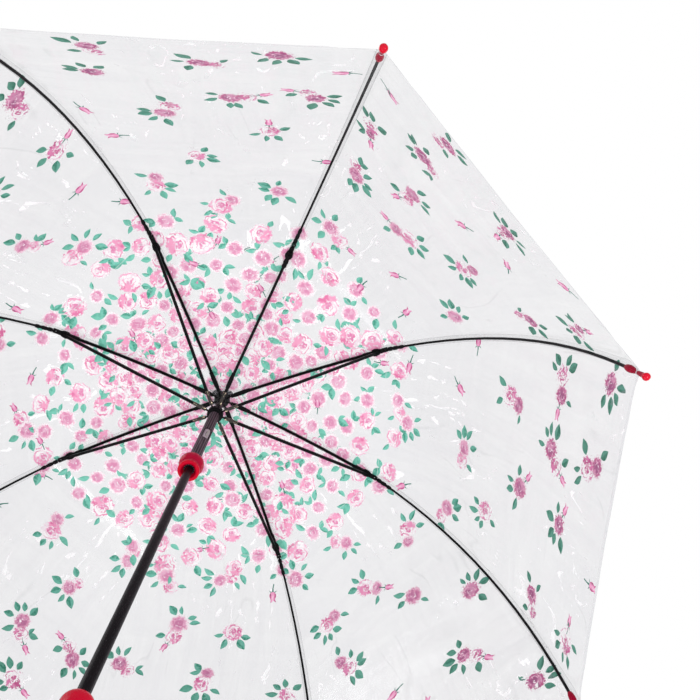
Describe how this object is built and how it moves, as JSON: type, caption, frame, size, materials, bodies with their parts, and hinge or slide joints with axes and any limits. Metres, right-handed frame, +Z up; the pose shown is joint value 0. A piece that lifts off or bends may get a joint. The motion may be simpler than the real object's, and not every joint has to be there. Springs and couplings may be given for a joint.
{
  "type": "dome umbrella",
  "caption": "Clear dome umbrella with a flower print, folding ribs on a sliding runner, and a crook handle, modelled open.",
  "frame": {"origin": "on the shaft's axis, level with the lowest point of the crook handle", "axes": "+Z up along the shaft from handle to ferrule, +X outward over rib 1 and towards the crook"},
  "size_m": [0.8806, 0.8806, 0.8735],
  "materials": {
    "red_plastic": "gloss",
    "black_steel": "satin",
    "shaft_paint": "satin",
    "runner_plastic": "satin",
    "black_plastic": "satin",
    "spring_steel": "bright",
    "clear_film": "clear gloss"
  },
  "bodies": {
    "shaft": {"shaft_tube": "shaft_paint", "ferrule": "black_plastic", "crown_notch": "black_plastic", "crown_wire": "spring_steel", "canopy_cap": "black_plastic", "handle": "red_plastic", "top_stop": "spring_steel"},
    "top_catch": {"top_catch": "spring_steel"},
    "bottom_catch": {"bottom_catch": "spring_steel"},
    "runner": {"runner": "runner_plastic", "runner_collar": "red_plastic", "runner_wire": "spring_steel"},
    "rib_1": {"rib_inner_1": "black_steel"},
    "stretcher_1": {"stretcher_1": "black_steel"},
    "rod_1": {"rib_outer_1": "black_steel", "tip_cap_1": "red_plastic"},
    "film_upper_1": {"canopy_upper_1": "clear_film"},
    "film_lower_1": {"canopy_lower_1": "clear_film"},
    "rib_2": {"rib_inner_2": "black_steel"},
    "stretcher_2": {"stretcher_2": "black_steel"},
    "rod_2": {"rib_outer_2": "black_steel", "tip_cap_2": "red_plastic"},
    "film_upper_2": {"canopy_upper_2": "clear_film"},
    "film_lower_2": {"canopy_lower_2": "clear_film"},
    "rib_3": {"rib_inner_3": "black_steel"},
    "stretcher_3": {"stretcher_3": "black_steel"},
    "rod_3": {"rib_outer_3": "black_steel", "tip_cap_3": "red_plastic"},
    "film_upper_3": {"canopy_upper_3": "clear_film"},
    "film_lower_3": {"canopy_lower_3": "clear_film"},
    "rib_4": {"rib_inner_4": "black_steel"},
    "stretcher_4": {"stretcher_4": "black_steel"},
    "rod_4": {"rib_outer_4": "black_steel", "tip_cap_4": "red_plastic"},
    "film_upper_4": {"canopy_upper_4": "clear_film"},
    "film_lower_4": {"canopy_lower_4": "clear_film"},
    "rib_5": {"rib_inner_5": "black_steel"},
    "stretcher_5": {"stretcher_5": "black_steel"},
    "rod_5": {"rib_outer_5": "black_steel", "tip_cap_5": "red_plastic"},
    "film_upper_5": {"canopy_upper_5": "clear_film"},
    "film_lower_5": {"canopy_lower_5": "clear_film"},
    "rib_6": {"rib_inner_6": "black_steel"},
    "stretcher_6": {"stretcher_6": "black_steel"},
    "rod_6": {"rib_outer_6": "black_steel", "tip_cap_6": "red_plastic"},
    "film_upper_6": {"canopy_upper_6": "clear_film"},
    "film_lower_6": {"canopy_lower_6": "clear_film"},
    "rib_7": {"rib_inner_7": "black_steel"},
    "stretcher_7": {"stretcher_7": "black_steel"},
    "rod_7": {"rib_outer_7": "black_steel", "tip_cap_7": "red_plastic"},
    "film_upper_7": {"canopy_upper_7": "clear_film"},
    "film_lower_7": {"canopy_lower_7": "clear_film"},
    "rib_8": {"rib_inner_8": "black_steel"},
    "stretcher_8": {"stretcher_8": "black_steel"},
    "rod_8": {"rib_outer_8": "black_steel", "tip_cap_8": "red_plastic"},
    "film_upper_8": {"canopy_upper_8": "clear_film"},
    "film_lower_8": {"canopy_lower_8": "clear_film"}
  },
  "joints": [
    {"name": "rib_1_fold", "type": "hinge", "parent": "shaft", "child": "rib_1", "pos_m": [0.009, 0, 0.815], "axis": [0, 1, 0], "range_deg": [0, 78], "deforming": ["canopy_upper_1", "canopy_lower_1", "canopy_upper_2", "canopy_lower_2", "canopy_upper_3", "canopy_lower_3", "canopy_upper_4", "canopy_lower_4", "canopy_upper_5", "canopy_lower_5", "canopy_upper_6", "canopy_lower_6", "canopy_upper_7", "canopy_lower_7", "canopy_upper_8", "canopy_lower_8", "top_catch", "bottom_catch"]},
    {"name": "stretcher_1_fold", "type": "hinge", "parent": "rib_1", "child": "stretcher_1", "pos_m": [0.23195, 0, 0.778], "axis": [0, 1, 0], "range_deg": [-156, 0]},
    {"name": "rod_1_flex", "type": "hinge", "parent": "rib_1", "child": "rod_1", "pos_m": [0.24399, 0, 0.77928], "axis": [0, 1, 0], "range_deg": [-52.65, 0]},
    {"name": "film_upper_1_fold", "type": "hinge", "parent": "shaft", "child": "film_upper_1", "pos_m": [-0.00128, -0.00053, 0.80473], "axis": [-0.3827, 0.9239, 0], "range_deg": [0, 78]},
    {"name": "film_lower_1_flex", "type": "hinge", "parent": "film_upper_1", "child": "film_lower_1", "pos_m": [0.20976, 0.08688, 0.78321], "axis": [-0.3827, 0.9239, 0], "range_deg": [-54.25, 0]},
    {"name": "rib_2_fold", "type": "hinge", "parent": "shaft", "child": "rib_2", "pos_m": [0.00636, 0.00636, 0.815], "axis": [-0.7071, 0.7071, 0], "range_deg": [0, 78]},
    {"name": "stretcher_2_fold", "type": "hinge", "parent": "rib_2", "child": "stretcher_2", "pos_m": [0.16401, 0.16401, 0.778], "axis": [-0.7071, 0.7071, 0], "range_deg": [-156, 0]},
    {"name": "rod_2_flex", "type": "hinge", "parent": "rib_2", "child": "rod_2", "pos_m": [0.17253, 0.17253, 0.77928], "axis": [-0.7071, 0.7071, 0], "range_deg": [-52.65, 0]},
    {"name": "film_upper_2_fold", "type": "hinge", "parent": "shaft", "child": "film_upper_2", "pos_m": [-0.00053, -0.00128, 0.80473], "axis": [-0.9239, 0.3827, 0], "range_deg": [0, 78]},
    {"name": "film_lower_2_flex", "type": "hinge", "parent": "film_upper_2", "child": "film_lower_2", "pos_m": [0.08688, 0.20976, 0.78321], "axis": [-0.9239, 0.3827, 0], "range_deg": [-54.25, 0]},
    {"name": "rib_3_fold", "type": "hinge", "parent": "shaft", "child": "rib_3", "pos_m": [0, 0.009, 0.815], "axis": [-1, 0, 0], "range_deg": [0, 78]},
    {"name": "stretcher_3_fold", "type": "hinge", "parent": "rib_3", "child": "stretcher_3", "pos_m": [0, 0.23195, 0.778], "axis": [-1, 0, 0], "range_deg": [-156, 0]},
    {"name": "rod_3_flex", "type": "hinge", "parent": "rib_3", "child": "rod_3", "pos_m": [0, 0.24399, 0.77928], "axis": [-1, 0, 0], "range_deg": [-52.65, 0]},
    {"name": "film_upper_3_fold", "type": "hinge", "parent": "shaft", "child": "film_upper_3", "pos_m": [0.00053, -0.00128, 0.80473], "axis": [-0.9239, -0.3827, 0], "range_deg": [0, 78]},
    {"name": "film_lower_3_flex", "type": "hinge", "parent": "film_upper_3", "child": "film_lower_3", "pos_m": [-0.08688, 0.20976, 0.78321], "axis": [-0.9239, -0.3827, 0], "range_deg": [-54.25, 0]},
    {"name": "rib_4_fold", "type": "hinge", "parent": "shaft", "child": "rib_4", "pos_m": [-0.00636, 0.00636, 0.815], "axis": [-0.7071, -0.7071, 0], "range_deg": [0, 78]},
    {"name": "stretcher_4_fold", "type": "hinge", "parent": "rib_4", "child": "stretcher_4", "pos_m": [-0.16401, 0.16401, 0.778], "axis": [-0.7071, -0.7071, 0], "range_deg": [-156, 0]},
    {"name": "rod_4_flex", "type": "hinge", "parent": "rib_4", "child": "rod_4", "pos_m": [-0.17253, 0.17253, 0.77928], "axis": [-0.7071, -0.7071, 0], "range_deg": [-52.65, 0]},
    {"name": "film_upper_4_fold", "type": "hinge", "parent": "shaft", "child": "film_upper_4", "pos_m": [0.00128, -0.00053, 0.80473], "axis": [-0.3827, -0.9239, 0], "range_deg": [0, 78]},
    {"name": "film_lower_4_flex", "type": "hinge", "parent": "film_upper_4", "child": "film_lower_4", "pos_m": [-0.20976, 0.08688, 0.78321], "axis": [-0.3827, -0.9239, 0], "range_deg": [-54.25, 0]},
    {"name": "rib_5_fold", "type": "hinge", "parent": "shaft", "child": "rib_5", "pos_m": [-0.009, 0, 0.815], "axis": [0, -1, 0], "range_deg": [0, 78]},
    {"name": "stretcher_5_fold", "type": "hinge", "parent": "rib_5", "child": "stretcher_5", "pos_m": [-0.23195, 0, 0.778], "axis": [0, -1, 0], "range_deg": [-156, 0]},
    {"name": "rod_5_flex", "type": "hinge", "parent": "rib_5", "child": "rod_5", "pos_m": [-0.24399, 0, 0.77928], "axis": [0, -1, 0], "range_deg": [-52.65, 0]},
    {"name": "film_upper_5_fold", "type": "hinge", "parent": "shaft", "child": "film_upper_5", "pos_m": [0.00128, 0.00053, 0.80473], "axis": [0.3827, -0.9239, 0], "range_deg": [0, 78]},
    {"name": "film_lower_5_flex", "type": "hinge", "parent": "film_upper_5", "child": "film_lower_5", "pos_m": [-0.20976, -0.08688, 0.78321], "axis": [0.3827, -0.9239, 0], "range_deg": [-54.25, 0]},
    {"name": "rib_6_fold", "type": "hinge", "parent": "shaft", "child": "rib_6", "pos_m": [-0.00636, -0.00636, 0.815], "axis": [0.7071, -0.7071, 0], "range_deg": [0, 78]},
    {"name": "stretcher_6_fold", "type": "hinge", "parent": "rib_6", "child": "stretcher_6", "pos_m": [-0.16401, -0.16401, 0.778], "axis": [0.7071, -0.7071, 0], "range_deg": [-156, 0]},
    {"name": "rod_6_flex", "type": "hinge", "parent": "rib_6", "child": "rod_6", "pos_m": [-0.17253, -0.17253, 0.77928], "axis": [0.7071, -0.7071, 0], "range_deg": [-52.65, 0]},
    {"name": "film_upper_6_fold", "type": "hinge", "parent": "shaft", "child": "film_upper_6", "pos_m": [0.00053, 0.00128, 0.80473], "axis": [0.9239, -0.3827, 0], "range_deg": [0, 78]},
    {"name": "film_lower_6_flex", "type": "hinge", "parent": "film_upper_6", "child": "film_lower_6", "pos_m": [-0.08688, -0.20976, 0.78321], "axis": [0.9239, -0.3827, 0], "range_deg": [-54.25, 0]},
    {"name": "rib_7_fold", "type": "hinge", "parent": "shaft", "child": "rib_7", "pos_m": [0, -0.009, 0.815], "axis": [1, 0, 0], "range_deg": [0, 78]},
    {"name": "stretcher_7_fold", "type": "hinge", "parent": "rib_7", "child": "stretcher_7", "pos_m": [0, -0.23195, 0.778], "axis": [1, 0, 0], "range_deg": [-156, 0]},
    {"name": "rod_7_flex", "type": "hinge", "parent": "rib_7", "child": "rod_7", "pos_m": [0, -0.24399, 0.77928], "axis": [1, 0, 0], "range_deg": [-52.65, 0]},
    {"name": "film_upper_7_fold", "type": "hinge", "parent": "shaft", "child": "film_upper_7", "pos_m": [-0.00053, 0.00128, 0.80473], "axis": [0.9239, 0.3827, 0], "range_deg": [0, 78]},
    {"name": "film_lower_7_flex", "type": "hinge", "parent": "film_upper_7", "child": "film_lower_7", "pos_m": [0.08688, -0.20976, 0.78321], "axis": [0.9239, 0.3827, 0], "range_deg": [-54.25, 0]},
    {"name": "rib_8_fold", "type": "hinge", "parent": "shaft", "child": "rib_8", "pos_m": [0.00636, -0.00636, 0.815], "axis": [0.7071, 0.7071, 0], "range_deg": [0, 78]},
    {"name": "stretcher_8_fold", "type": "hinge", "parent": "rib_8", "child": "stretcher_8", "pos_m": [0.16401, -0.16401, 0.778], "axis": [0.7071, 0.7071, 0], "range_deg": [-156, 0]},
    {"name": "rod_8_flex", "type": "hinge", "parent": "rib_8", "child": "rod_8", "pos_m": [0.17253, -0.17253, 0.77928], "axis": [0.7071, 0.7071, 0], "range_deg": [-52.65, 0]},
    {"name": "film_upper_8_fold", "type": "hinge", "parent": "shaft", "child": "film_upper_8", "pos_m": [-0.00128, 0.00053, 0.80473], "axis": [0.3827, 0.9239, 0], "range_deg": [0, 78]},
    {"name": "film_lower_8_flex", "type": "hinge", "parent": "film_upper_8", "child": "film_lower_8", "pos_m": [0.20976, -0.08688, 0.78321], "axis": [0.3827, 0.9239, 0], "range_deg": [-54.25, 0]},
    {"name": "runner_pin", "type": "hinge", "parent": "stretcher_1", "child": "runner", "pos_m": [0.009, 0, 0.741], "axis": [0, 1, 0], "range_deg": [0, 78]},
    {"name": "top_catch_press", "type": "hinge", "parent": "shaft", "child": "top_catch", "pos_m": [0.00157, 0.0029, 0.6075], "axis": [0.8801, -0.4749, 0], "range_deg": [0, 4.5], "stiffness_Nm_per_rad": 1},
    {"name": "bottom_catch_press", "type": "hinge", "parent": "shaft", "child": "bottom_catch", "pos_m": [-0.00157, -0.0029, 0.29896], "axis": [0.8801, -0.4749, 0], "range_deg": [0, 4.5], "stiffness_Nm_per_rad": 1}
  ],
  "couplings": [
    {"joint": "stretcher_1_fold", "follows": "rib_1_fold", "ratio": -2},
    {"joint": "rod_1_flex", "follows": "rib_1_fold", "ratio": -0.675},
    {"joint": "film_upper_1_fold", "follows": "rib_1_fold", "ratio": 1},
    {"joint": "film_lower_1_flex", "follows": "rib_1_fold", "ratio": -0.6955},
    {"joint": "rib_2_fold", "follows": "rib_1_fold", "ratio": 1},
    {"joint": "stretcher_2_fold", "follows": "rib_1_fold", "ratio": -2},
    {"joint": "rod_2_flex", "follows": "rib_1_fold", "ratio": -0.675},
    {"joint": "film_upper_2_fold", "follows": "rib_1_fold", "ratio": 1},
    {"joint": "film_lower_2_flex", "follows": "rib_1_fold", "ratio": -0.6955},
    {"joint": "rib_3_fold", "follows": "rib_1_fold", "ratio": 1},
    {"joint": "stretcher_3_fold", "follows": "rib_1_fold", "ratio": -2},
    {"joint": "rod_3_flex", "follows": "rib_1_fold", "ratio": -0.675},
    {"joint": "film_upper_3_fold", "follows": "rib_1_fold", "ratio": 1},
    {"joint": "film_lower_3_flex", "follows": "rib_1_fold", "ratio": -0.6955},
    {"joint": "rib_4_fold", "follows": "rib_1_fold", "ratio": 1},
    {"joint": "stretcher_4_fold", "follows": "rib_1_fold", "ratio": -2},
    {"joint": "rod_4_flex", "follows": "rib_1_fold", "ratio": -0.675},
    {"joint": "film_upper_4_fold", "follows": "rib_1_fold", "ratio": 1},
    {"joint": "film_lower_4_flex", "follows": "rib_1_fold", "ratio": -0.6955},
    {"joint": "rib_5_fold", "follows": "rib_1_fold", "ratio": 1},
    {"joint": "stretcher_5_fold", "follows": "rib_1_fold", "ratio": -2},
    {"joint": "rod_5_flex", "follows": "rib_1_fold", "ratio": -0.675},
    {"joint": "film_upper_5_fold", "follows": "rib_1_fold", "ratio": 1},
    {"joint": "film_lower_5_flex", "follows": "rib_1_fold", "ratio": -0.6955},
    {"joint": "rib_6_fold", "follows": "rib_1_fold", "ratio": 1},
    {"joint": "stretcher_6_fold", "follows": "rib_1_fold", "ratio": -2},
    {"joint": "rod_6_flex", "follows": "rib_1_fold", "ratio": -0.675},
    {"joint": "film_upper_6_fold", "follows": "rib_1_fold", "ratio": 1},
    {"joint": "film_lower_6_flex", "follows": "rib_1_fold", "ratio": -0.6955},
    {"joint": "rib_7_fold", "follows": "rib_1_fold", "ratio": 1},
    {"joint": "stretcher_7_fold", "follows": "rib_1_fold", "ratio": -2},
    {"joint": "rod_7_flex", "follows": "rib_1_fold", "ratio": -0.675},
    {"joint": "film_upper_7_fold", "follows": "rib_1_fold", "ratio": 1},
    {"joint": "film_lower_7_flex", "follows": "rib_1_fold", "ratio": -0.6955},
    {"joint": "rib_8_fold", "follows": "rib_1_fold", "ratio": 1},
    {"joint": "stretcher_8_fold", "follows": "rib_1_fold", "ratio": -2},
    {"joint": "rod_8_flex", "follows": "rib_1_fold", "ratio": -0.675},
    {"joint": "film_upper_8_fold", "follows": "rib_1_fold", "ratio": 1},
    {"joint": "film_lower_8_flex", "follows": "rib_1_fold", "ratio": -0.6955},
    {"joint": "runner_pin", "follows": "rib_1_fold", "ratio": 1}
  ]
}
